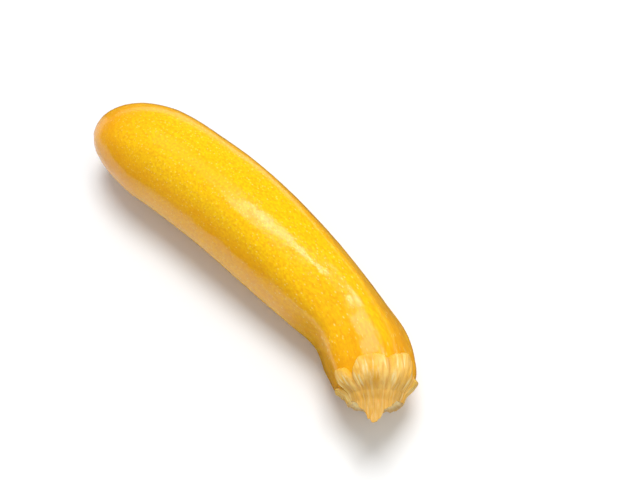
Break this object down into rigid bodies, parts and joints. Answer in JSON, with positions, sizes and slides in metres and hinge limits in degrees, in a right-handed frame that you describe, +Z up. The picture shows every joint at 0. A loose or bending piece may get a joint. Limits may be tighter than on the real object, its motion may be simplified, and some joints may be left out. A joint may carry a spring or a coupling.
{
  "type": "yellow zucchini",
  "caption": "Whole yellow zucchini lying on its side: a bent, softly ridged fruit with a blossom scar at one end and the torn, fluted stub of its stem at the other.",
  "frame": {"origin": "on the surface that the zucchini lies on, under the middle of its box", "axes": "+Z up, +X from the blossom end to the stem end, +Y towards the side that the bent fruit bulges to"},
  "size_m": [0.1769, 0.0522, 0.0422],
  "materials": {
    "yellow_skin": "satin",
    "stem_rind": "matte"
  },
  "bodies": {
    "root": {"fruit": "yellow_skin", "stem": "stem_rind"}
  },
  "joints": []
}
